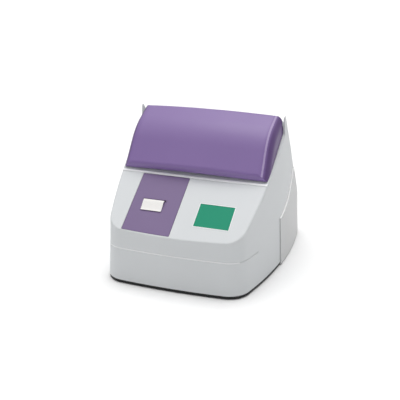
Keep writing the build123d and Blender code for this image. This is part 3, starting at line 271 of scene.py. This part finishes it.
def painted_seam_highlight(f, colour):
    """Painted highlight on the rear cover: a near-white line along the seam's arc, above its
    knee.
    """
    at = f.node("ShaderNodeMapping", None, {"Vector": f.place(), "Scale": (0, 1, 1)})
    ends = {0: at, 1: SEAM_CENTRE}
    reach = f.node("ShaderNodeVectorMath", {"operation": "DISTANCE"}, ends, out="Value")
    height = f.node("ShaderNodeSeparateXYZ", None, {"Vector": f.place()}, out="Z")
    line = (reach < SEAM_RADIUS + SEAM_EDGE) * (height > SEAM_KNEE)
    return f.mix(line, colour, tone("ffffff"))


def painted_end_shade_and_highlight(f, colour):
    """The lid's ends: painted shade makes them a deeper purple, and a painted highlight is a
    pale line where the front turns right.
    """
    facing = f.node("ShaderNodeNewGeometry", out="Normal")
    across = f.node("ShaderNodeSeparateXYZ", None, {"Vector": facing}, out="X")
    lean = f.node("ShaderNodeMath", {"operation": "ABSOLUTE"}, {0: across})
    ramp = {"From Min": END_STARTS, "From Max": END_FULL}
    end = f.node("ShaderNodeMapRange", None, {"Value": lean, **ramp})
    highlight_mask = (across > HIGHLIGHT_FROM) * (across < HIGHLIGHT_TO)
    return f.mix(highlight_mask * HIGHLIGHT_SHARE, f.mix(end, colour, tone(END_SHADE_TONE)), tone(HIGHLIGHT_TONE))


def moulded(name, code, deep_code, rough, grain=1400.0, depth=0.00004, coat=0.0, extra=None):
    """Plastic with drifting tone, fine grain and slightly uneven gloss."""
    f = Finish(name)
    drift = f.noise(DRIFT_SCALE, 3.0)
    speck = f.noise(grain)
    smear = f.noise(SMEAR_SCALE, 4.0, SMEAR_STRETCH)
    colour = f.mix(drift, tone(code), tone(deep_code))
    f.set(
        Base_Color=extra(f, colour) if extra else colour,
        Roughness=rough - GLOSS_SPREAD / 2 + GLOSS_SPREAD * smear,
        Normal=f.bump(speck, depth, GRAIN_STRENGTH),
        Coat_Weight=coat,
        Coat_Roughness=COAT_ROUGH,
    )
    return f.material


case_light = moulded("case_light", "d6d9db", "cfd2d4", 0.5)
# The rear cover carries the painted highlight along its seam.
case_rear = moulded("case_rear", "cfd0d0", "c7c8c9", 0.5, extra=painted_seam_highlight)
# The lid carries painted shade on both ends and a painted highlight on the right one.
lid_purple = moulded(
    "lid_purple",
    "856ca5",
    "7d649d",
    0.42,
    grain=2200.0,
    depth=0.00002,
    coat=0.05,
    extra=painted_end_shade_and_highlight,
)
door_purple = moulded("door_purple", "76618b", "6f5b85", 0.5, grain=1100.0)
inner_dark = moulded("inner_dark", "2b2d31", "222428", 0.55)
base_black = moulded("base_black", "0d0e10", "15161a", 0.6)
# Near-white plastic for the rims and switch marks; on the two beads its white is a painted
# highlight.
white_trim_and_highlight = moulded("white_trim_and_highlight", "f6f7f8", "f0f1f3", 0.4)
rack_white = moulded("rack_white", "dfe2e6", "d6dade", 0.42)
frame_grey = moulded("frame_grey", "cdd1d4", "c3c8cc", 0.4)
print("plastics ready")

# %% [markdown]
# Metals: turned shafts carry fine rings, sheet has a spangle of zinc, and anodised plate is
# even and silky. Each is a Principled metal whose roughness and bump follow noise that is
# stretched to suit the marks. Rubber, paper and solder mask are matt, and one more function
# makes them. The control board is one solid with its parts, so its finish turns black
# above the board's top face.

# %% Metals, rubber and paper
WORN_TONE = "9a9b9e"
WORN_SCALE = 30.0
MARK_ROUGH = 0.15
MARK_STRENGTH = 0.5
FIBRE_STRENGTH = 0.8
BOARD_TOP = 0.0147
CHIP_TONE = "1b1c1e"


def metal(name, code, rough, stretch=(1, 1, 1), marks=600.0, depth=0.00001):
    """Bare metal with marks drawn out along one direction."""
    f = Finish(name)
    lines = f.noise(marks, 4.0, stretch)
    f.set(
        Base_Color=f.mix(f.noise(WORN_SCALE), tone(code), tone(WORN_TONE)),
        Metallic=1.0,
        Roughness=rough + MARK_ROUGH * lines,
        Normal=f.bump(lines, depth, MARK_STRENGTH),
    )
    return f.material


ground_steel = metal("ground_steel", "c9cacc", 0.18, stretch=(20, 1, 1))
zinc_sheet = metal("zinc_sheet", "c3c6c8", 0.3, marks=90.0)
anodised = metal("anodised", "d4d6d8", 0.32, stretch=(1, 8, 1))
brass = metal("brass", "c9a45a", 0.25)


def black_parts(f, colour):
    """The parts on the control board: black, as all that stands above the board's top face."""
    height = f.node("ShaderNodeSeparateXYZ", None, {"Vector": f.place()}, out="Z")
    return f.mix(height > BOARD_TOP, colour, tone(CHIP_TONE))


def matt(name, code, deep_code, rough, grain, depth, extra=None):
    """Soft matt surface: rubber, paper or solder mask."""
    f = Finish(name)
    fibre = f.noise(grain, 5.0)
    colour = f.mix(f.noise(grain / 6), tone(code), tone(deep_code))
    f.set(
        Base_Color=extra(f, colour) if extra else colour,
        Roughness=rough,
        Normal=f.bump(fibre, depth, FIBRE_STRENGTH),
    )
    return f.material


rubber = matt("rubber", "17171a", "101012", 0.8, 900.0, 0.00005)
paper = matt("paper", "f4f2f0", "edebe8", 0.7, 1500.0, 0.00002)
motor_black = matt("motor_black", "1b1c1f", "232428", 0.45, 700.0, 0.00003)
board_green = matt("board_green", "14593a", "0f4a30", 0.35, 400.0, 0.00003, extra=black_parts)
print("metals, rubber and paper ready")

# %% [markdown]
# The touch display is a green liquid crystal panel lit from behind, under a clear film.
# The light isn't quite even and the cells are too fine to see one by one, so the colour
# drifts slowly and a fine grid only dims it a little. Emission gives the lit look.

# %% Display finish
GRID = 3300.0
GRID_SHARE = 0.15
GLOW_SCALE = 14.0
GLOW_POWER = 0.1
lcd = Finish("lit_screen")
cells = lcd.node("ShaderNodeTexChecker", None, {"Vector": lcd.place(), "Scale": GRID}, out=1)
glow = lcd.mix(lcd.noise(GLOW_SCALE), tone("2c9c7d"), tone("278f70"))
lcd.set(
    Base_Color=lcd.mix(cells * GRID_SHARE, tone("0c8869"), tone("087457")),
    Emission_Color=glow,
    Emission_Strength=GLOW_POWER,
    Roughness=0.5,
    Specular_IOR_Level=0.2,
)
screen_lit = lcd.material
print("display ready")

# %% [markdown]
# Now each solid gets its finish. The mesh of a solid is never changed, so the material is
# put on the object's own slot.

# %% Dress the solids
dress = {
    case_light: ["front_housing", "deck_frame"],
    case_rear: ["rear_housing"],
    lid_purple: ["hood_shell"],
    door_purple: ["printer_door"],
    inner_dark: [
        "sample_well",
        "reader_carriage",
        "optical_sensor",
        "printer_bay",
        "paper_spindle",
    ],
    base_black: [
        "base_tray",
        "fan_frame",
        "fan_impeller",
        "mains_inlet",
        "switch_housing",
        "rocker",
    ],
    rack_white: ["tube_rack_front", "tube_rack_rear"],
    frame_grey: ["display_module"],
    screen_lit: ["touch_glass"],
    ground_steel: ["hinge_pins", "rotor_shaft", "reader_rails", "lead_screw", "rotor_bearings"],
    zinc_sheet: ["hinge_brackets", "printer_frame", "data_port", "power_supply"],
    anodised: [
        "side_plate_left",
        "side_plate_right",
        "rotor_end_left",
        "rotor_end_right",
        "rotor_pulley",
        "motor_pulley",
    ],
    brass: ["board_standoffs"],
    rubber: ["feet", "lid_seal", "lid_buffers", "drive_belt", "platen_roller"],
    paper: ["paper_slip", "paper_roll"],
    motor_black: ["rotor_motor", "reader_motor", "thermal_head"],
    board_green: ["control_board"],
}
for finish, names in dress.items():
    for name in names:
        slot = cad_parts[name].material_slots[0]
        slot.link = "OBJECT"
        slot.material = finish
print("dressed", sum(len(names) for names in dress.values()), "solids")

# %% [markdown]
# The small things are modelled as by hand: add a primitive, shape it in edit mode, and
# finish it with a modifier. Five helpers do what a hand does between those steps. The
# first adds a primitive with nothing else selected, because an operator works on all that
# is selected. The second picks faces, edges or vertices by their place. The third gives a
# primitive its real size, and the fourth adds a modifier and applies it. The fifth puts
# the finished piece where it belongs, moves that place into its mesh, turns its normals
# outwards and names the body that carries it. The deck slopes, so one more helper gives
# the place of a point on it: x across, along the slope, and above it.

# %% Hands
DECK_TURN = radians(34.0)
DECK_HEIGHT = 0.326153
SAME_POINT = 0.000001


def start(name, primitive, **how):
    """Adds a primitive and leaves it alone selected."""
    bpy.ops.object.select_all(action="DESELECT")
    primitive(**how)
    piece = bpy.context.object
    piece.name = name
    return piece


def pick(piece, choose, kind="polygons"):
    """Selects the faces, edges or vertices that choose() accepts, and stays in edit mode."""
    modes = {"polygons": "FACE", "edges": "EDGE", "vertices": "VERT"}
    bpy.ops.object.mode_set(mode="EDIT")
    bpy.ops.mesh.select_mode(type=modes[kind])
    bpy.ops.mesh.select_all(action="DESELECT")
    bpy.ops.object.mode_set(mode="OBJECT")
    points = piece.data.vertices
    for part in getattr(piece.data, kind):
        if kind == "vertices":
            middle = part.co
        else:
            middle = sum((points[v].co for v in part.vertices), Vector()) / len(part.vertices)
        part.select = choose(middle)
    bpy.ops.object.mode_set(mode="EDIT")


def resize(piece, x, y, z):
    """Gives a primitive of unit size its real size, in metres."""
    piece.scale = (x, y, z)
    bpy.ops.object.transform_apply(location=False, rotation=False, scale=True)


def modify(piece, kind, **settings):
    """Adds one modifier and applies it."""
    bpy.ops.object.mode_set(mode="OBJECT")
    modifier = piece.modifiers.new(kind.lower(), kind)
    for key, value in settings.items():
        setattr(modifier, key, value)
    bpy.ops.object.modifier_apply(modifier=modifier.name)


def settle(piece, place, finish, body, smooth=35):
    """Moves the piece to its place, into its mesh, and hands it to its body."""
    bpy.ops.object.mode_set(mode="OBJECT")
    bpy.ops.object.select_all(action="DESELECT")
    piece.select_set(True)
    bpy.context.view_layer.objects.active = piece
    piece.matrix_world = place
    bpy.ops.object.transform_apply(location=True, rotation=True, scale=True)
    bpy.ops.object.mode_set(mode="EDIT")
    bpy.ops.mesh.select_all(action="SELECT")
    bpy.ops.mesh.remove_doubles(threshold=SAME_POINT)
    bpy.ops.mesh.normals_make_consistent(inside=False)
    bpy.ops.object.mode_set(mode="OBJECT")
    bpy.ops.object.shade_smooth_by_angle(angle=radians(smooth))
    piece.data.materials.clear()
    piece.data.materials.append(finish)
    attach(piece, body)
    print(piece.name, "has", len(piece.data.polygons), "faces on", body)


def on_deck(x, along, above):
    """The place and turn of a piece on the sloped deck."""
    point = Vector(
        (
            x,
            along * cos(DECK_TURN) - above * sin(DECK_TURN),
            DECK_HEIGHT + along * sin(DECK_TURN) + above * cos(DECK_TURN),
        )
    )
    return Matrix.Translation(point) @ Matrix.Rotation(DECK_TURN, 4, "X")


print("hands ready")

# %% [markdown]
# The strip is thermal paper that curls out of its slot and lies down the cover. A sheet
# like that is one ruled surface, so a narrow plane is enough to start with: its front edge
# is extruded again and again along the curl, whose points are in millimetres along the
# cover and above it. Two corners are rounded, and Solidify gives the paper its thickness.
# It stands for the plain strip among the solids.

# %% Paper strip
SLIP_X = -0.080
SLOT_ALONG = -0.21200
PAPER_WIDTH = 0.057
PAPER_THICK = 0.00025
STRIP_START = 0.0002
STRIP_DEPTH = 0.006
CORNER_ROUND = 0.0022
CURL = [
    (-0.3, -1.5),
    (-0.8, 1.4),
    (-2.0, 3.4),
    (-4.4, 4.8),
    (-8.0, 5.2),
    (-13.0, 4.6),
    (-19.0, 3.5),
    (-25.0, 2.4),
    (-30.0, 1.7),
    (-33.5, 1.7),
    (-36.0, 2.3),
]
strip = start("printed_strip", bpy.ops.mesh.primitive_plane_add, size=1)
resize(strip, PAPER_WIDTH, STRIP_START, 1)
bpy.ops.object.mode_set(mode="EDIT")
bpy.ops.mesh.select_all(action="SELECT")
bpy.ops.transform.translate(value=(0, 0, -STRIP_DEPTH))
at = Vector((0, -STRIP_START / 2, -STRIP_DEPTH))
pick(strip, lambda middle: middle.y < -STRIP_START / 4, "edges")
for along, above in CURL:
    goal = Vector((0, along / 1000, above / 1000))
    bpy.ops.mesh.extrude_region_move(TRANSFORM_OT_translate={"value": goal - at})
    at = goal
end = at.y
pick(strip, lambda middle: middle.y < end + STRIP_START / 2, "vertices")
bpy.ops.mesh.bevel(offset=CORNER_ROUND, segments=4, affect="VERTICES")
bpy.ops.mesh.select_all(action="SELECT")
bpy.ops.mesh.subdivide(number_cuts=1)
modify(strip, "SUBSURF", levels=1, render_levels=1, boundary_smooth="PRESERVE_CORNERS")
modify(strip, "SOLIDIFY", thickness=PAPER_THICK, offset=0.0)
settle(strip, on_deck(SLIP_X, SLOT_ALONG, 0), paper, "printer_door")
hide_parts("paper_slip")

# %% [markdown]
# Two places on the deck have a thin raised rim: the paper slot in the printer cover and the
# display. A rim is a plate with its middle taken out, so a plane is inset by the rim's
# width, the inner face is deleted, and what is left is extruded and bevelled.

# %% Rims on the deck
LIP_SIZE = (0.0684, 0.0087)
LIP_WIDTH = 0.0021
LIP_RISE = 0.0007
LIP_SOFT = 0.0003
SCREEN_X = 0.0925
SCREEN_ALONG = -0.24102
SURROUND_SIZE = (0.0970, 0.0750)
SURROUND_WIDTH = 0.0018
SURROUND_RISE = 0.0006
SURROUND_SOFT = 0.00025
RIM_SUNK = 0.0001
NEAR_MIDDLE = 0.0001


def rim(name, size, width, rise, soft):
    """A flat frame with bevelled edges, lying at the origin."""
    made = start(name, bpy.ops.mesh.primitive_plane_add, size=1)
    resize(made, size[0], size[1], 1)
    pick(made, lambda middle: True)
    bpy.ops.mesh.inset(thickness=width, depth=0)
    pick(made, lambda middle: middle.length < NEAR_MIDDLE)
    bpy.ops.mesh.delete(type="FACE")
    bpy.ops.mesh.select_all(action="SELECT")
    bpy.ops.mesh.extrude_region_move(TRANSFORM_OT_translate={"value": (0, 0, rise)})
    modify(made, "BEVEL", width=soft, segments=3, limit_method="ANGLE")
    return made


lip = rim("slot_lip", LIP_SIZE, LIP_WIDTH, LIP_RISE, LIP_SOFT)
settle(lip, on_deck(SLIP_X, SLOT_ALONG, -RIM_SUNK), door_purple, "printer_door")
surround = rim("screen_surround", SURROUND_SIZE, SURROUND_WIDTH, SURROUND_RISE, SURROUND_SOFT)
settle(surround, on_deck(SCREEN_X, SCREEN_ALONG, -RIM_SUNK), white_trim_and_highlight, "case")

# %% [markdown]
# A pale bead runs across the front, where the moulding has a small ledge, and another
# lies in the seam between the deck and the frame under the lid. They stand proud and catch
# the light from above, and their white, paler than the case, is a painted highlight, so both
# show as fine bright lines. The front is a wide arc, and a bead is a small profile turned
# about the arc's centre: that is the Spin operator. A plane stands across the arc, its top
# edge is moved back so that it leans, and it is spun three times: round the left corner,
# along the front and round the right corner. The deck's bead is straight, so its profile is
# extruded instead.

# %% Beads
FRONT_CENTRE_Y = 1.4155
FRONT_RADIUS = 1.6856
BEAD_HEIGHT = 0.0979
BEAD_TALL = 0.0028
BEAD_DEEP = 0.0016
BEAD_LEAN = 0.0015
BEAD_SUNK = 0.0003
BEAD_SOFT = 0.0003
BEAD_REACH = radians(4.8266)
BEAD_STEPS = 36
LEFT_CORNER = (-0.13732, -1.62621, 0)
RIGHT_CORNER = (0.13732, -1.62621, 0)
CORNER_REACH = radians(42)
CORNER_STEPS = 10
SEAM_ALONG = -0.12560
SEAM_ABOVE = 0.0009
SEAM_HALF = 0.2030
SEAM_TALL = 0.0022
SEAM_DEEP = 0.0052
SEAM_LEAN = 0.0004


def profile(name, tall, deep, lean):
    """A small face across X, whose top edge leans back."""
    made = start(name, bpy.ops.mesh.primitive_plane_add, size=1, rotation=(0, pi / 2, 0))
    bpy.ops.object.transform_apply(location=False, rotation=True, scale=False)
    resize(made, 1, deep, tall)
    pick(made, lambda middle: middle.z > tall / 4, "edges")
    bpy.ops.transform.translate(value=(0, lean, 0))
    return made


def close_ends(made):
    """Closes the two ends of a bead and softens its edges."""
    bpy.ops.mesh.select_all(action="SELECT")
    bpy.ops.mesh.fill_holes(sides=4)
    sharp = {"limit_method": "ANGLE", "angle_limit": radians(40)}
    modify(made, "BEVEL", width=BEAD_SOFT, segments=2, **sharp)


bead = profile("front_bead", BEAD_TALL, BEAD_DEEP, BEAD_LEAN)
bpy.ops.mesh.select_all(action="SELECT")
bpy.ops.transform.translate(value=(0, -FRONT_RADIUS + BEAD_SUNK, 0))
bpy.ops.transform.rotate(value=BEAD_REACH, orient_axis="Z", center_override=(0, 0, 0))
bpy.ops.transform.rotate(value=CORNER_REACH, orient_axis="Z", center_override=LEFT_CORNER)
for centre, turn, steps in (
    (LEFT_CORNER, CORNER_REACH, CORNER_STEPS),
    ((0, 0, 0), 2 * BEAD_REACH, BEAD_STEPS),
    (RIGHT_CORNER, CORNER_REACH, CORNER_STEPS),
):
    bpy.ops.mesh.spin(steps=steps, angle=-turn, center=centre, axis=(0, 0, 1))
close_ends(bead)
settle(bead, Matrix.Translation((0, FRONT_CENTRE_Y, BEAD_HEIGHT)), white_trim_and_highlight, "case")

seam = profile("deck_bead", SEAM_TALL, SEAM_DEEP, SEAM_LEAN)
bpy.ops.mesh.select_all(action="SELECT")
bpy.ops.transform.translate(value=(-SEAM_HALF, 0, 0))
bpy.ops.mesh.extrude_region_move(TRANSFORM_OT_translate={"value": (2 * SEAM_HALF, 0, 0)})
close_ends(seam)
settle(seam, on_deck(0, SEAM_ALONG, SEAM_ABOVE), white_trim_and_highlight, "case")

# %% [markdown]
# Small pan-head screws hold the rear cover and the base. A screw is a short disc with a
# rounded edge and a cross recess, which two crossed bars cut out of its head. One is made
# for each group and copied, and each copy has a mesh of its own.

# %% Screws
HEAD_RADIUS = 0.0036
HEAD_RISE = 0.0018
HEAD_ROUND = 0.6
RECESS_DEPTH = 0.0011
ARM_REACH = 1.1
ARM_WIDTH = 0.26
BACK_FACE_Y = 0.27447
BACK_LEAN = radians(2.58)
BASE_FACE_Z = 0.0021
BACK_SPOTS = [
    (-0.172, 0.020),
    (-0.172, 0.082),
    (-0.030, 0.020),
    (0.172, 0.082),
    (0.172, 0.020),
    (0.020, 0.082),
]
BASE_SPOTS = [
    (-0.196, -0.190),
    (0.196, -0.190),
    (-0.196, 0.200),
    (0.196, 0.200),
]


def screw(name):
    """A pan-head screw that looks up from the origin, with a cross recess."""
    made = start(
        name,
        bpy.ops.mesh.primitive_cylinder_add,
        vertices=24,
        radius=HEAD_RADIUS,
        depth=HEAD_RISE,
        location=(0, 0, HEAD_RISE / 2),
    )
    bpy.ops.object.transform_apply(location=True, rotation=False, scale=False)
    pick(made, lambda middle: middle.z > HEAD_RISE * 0.9, "edges")
    bpy.ops.mesh.bevel(offset=HEAD_RISE * HEAD_ROUND, segments=4)
    bpy.ops.object.mode_set(mode="OBJECT")
    cutters = []
    for turn in (0, pi / 2):
        arm = start(
            "arm",
            bpy.ops.mesh.primitive_cube_add,
            size=1,
            rotation=(0, 0, turn),
            location=(0, 0, HEAD_RISE),
        )
        arm.scale = (HEAD_RADIUS * ARM_REACH, HEAD_RADIUS * ARM_WIDTH, 2 * RECESS_DEPTH)
        bpy.ops.object.transform_apply(location=True, rotation=True, scale=True)
        cutters.append(arm)
    for arm in cutters:
        bpy.ops.object.select_all(action="DESELECT")
        made.select_set(True)
        bpy.context.view_layer.objects.active = made
        modify(made, "BOOLEAN", object=arm, operation="DIFFERENCE", solver="EXACT")
        bpy.data.objects.remove(arm)
    return made


def copies(first, places, finish, body):
    """Puts a piece at the first place and copies of it at the others."""
    for number, place in enumerate(places[1:], 2):
        twin = first.copy()
        twin.data = first.data.copy()
        twin.name = first.name + "_" + str(number)
        bpy.context.collection.objects.link(twin)
        settle(twin, place, finish, body)
    settle(first, places[0], finish, body)


def on_back(x, height):
    """The place of a piece on the rear wall, looking out of it."""
    y = BACK_FACE_Y - height * sin(BACK_LEAN) / cos(BACK_LEAN)
    return Matrix.Translation((x, y, height)) @ Matrix.Rotation(BACK_LEAN - pi / 2, 4, "X")


back_places = [on_back(x, height) for x, height in BACK_SPOTS]
copies(screw("cover_screw"), back_places, zinc_sheet, "case")
upside = Matrix.Rotation(pi, 4, "X")
base_places = [Matrix.Translation((x, y, BASE_FACE_Z)) @ upside for x, y in BASE_SPOTS]
copies(screw("base_screw"), base_places, zinc_sheet, "case")

# %% [markdown]
# The data connector is a D-shaped shell with nine gold pins in two rows, between two hex
# posts for the plug's screws. A pin is a thin rod with a softened tip. A post is a
# six-sided rod with a bevelled rim and a hole, drawn by one inset and a push inwards.

# %% Connector pins and posts
PORT_X = 0.060
PORT_HEIGHT = 0.046
PIN_RADIUS = 0.0005
PIN_LENGTH = 0.0045
PIN_SOFT = 0.0003
PIN_STEP = 0.0026
POST_SPREAD = 0.0125
POST_RADIUS = 0.0026
POST_LENGTH = 0.0048
POST_SOFT = 0.0004
POST_WALL = 0.35
POST_HOLE = 0.6


def rod(name, sides, radius, length, soft):
    """A rod that looks up from the origin, with a softened far end."""
    made = start(
        name,
        bpy.ops.mesh.primitive_cylinder_add,
        vertices=sides,
        radius=radius,
        depth=length,
        location=(0, 0, length / 2),
    )
    bpy.ops.object.transform_apply(location=True, rotation=False, scale=False)
    pick(made, lambda middle: middle.z > length * 0.95, "edges")
    bpy.ops.mesh.bevel(offset=soft, segments=2)
    return made


upper = PORT_HEIGHT + PIN_STEP / 2
lower = PORT_HEIGHT - PIN_STEP / 2
pin_places = [on_back(PORT_X + (i - 2) * PIN_STEP, upper) for i in range(5)]
pin_places += [on_back(PORT_X + (i - 1.5) * PIN_STEP, lower) for i in range(4)]
copies(rod("port_pin", 10, PIN_RADIUS, PIN_LENGTH, PIN_SOFT), pin_places, brass, "case")
post = rod("port_post", 6, POST_RADIUS, POST_LENGTH, POST_SOFT)
pick(post, lambda middle: middle.z > POST_LENGTH * 0.99)
bpy.ops.mesh.inset(thickness=POST_RADIUS * POST_WALL, depth=0)
bpy.ops.mesh.inset(thickness=0, depth=-POST_LENGTH * POST_HOLE)
post_places = [on_back(PORT_X + side * POST_SPREAD, PORT_HEIGHT) for side in (-1, 1)]
copies(post, post_places, zinc_sheet, "case")

# %% [markdown]
# The power switch carries the two marks that every switch has, a bar for on and a ring for
# off. They are thin raised marks on the rocker's two sloping halves, and they ride on the
# rocker, so they tip with it.

# %% Switch marks
ROCKER_X = 0.135
ROCKER_HEIGHT = 0.078
MARK_OFFSET = 0.0036
MARK_Y = 0.27222
MARK_TURN = radians(12.9)
MARK_RISE = 0.00025
MARK_SOFT = 0.00008
RING_RADIUS = 0.0019
RING_WIDTH = 0.0005


def on_rocker(side):
    """The place of a mark on one half of the rocker."""
    turn = Matrix.Rotation(side * MARK_TURN, 4, "Z") @ Matrix.Rotation(-pi / 2, 4, "X")
    return Matrix.Translation((ROCKER_X + side * MARK_OFFSET, MARK_Y, ROCKER_HEIGHT)) @ turn


bar = start("mark_on", bpy.ops.mesh.primitive_plane_add, size=1)
resize(bar, RING_WIDTH, 2 * RING_RADIUS, 1)
pick(bar, lambda middle: True)
bpy.ops.mesh.extrude_region_move(TRANSFORM_OT_translate={"value": (0, 0, MARK_RISE)})
modify(bar, "BEVEL", width=MARK_SOFT, segments=2, limit_method="ANGLE")
settle(bar, on_rocker(-1), white_trim_and_highlight, "rocker")
ring = start(
    "mark_off",
    bpy.ops.mesh.primitive_circle_add,
    vertices=32,
    radius=RING_RADIUS,
    fill_type="NGON",
)
pick(ring, lambda middle: True)
bpy.ops.mesh.inset(thickness=RING_WIDTH, depth=0)
pick(ring, lambda middle: middle.length < RING_WIDTH / 2)
bpy.ops.mesh.delete(type="FACE")
bpy.ops.mesh.select_all(action="SELECT")
bpy.ops.mesh.extrude_region_move(TRANSFORM_OT_translate={"value": (0, 0, MARK_RISE)})
modify(ring, "BEVEL", width=MARK_SOFT, segments=2, limit_method="ANGLE")
settle(ring, on_rocker(1), white_trim_and_highlight, "rocker")
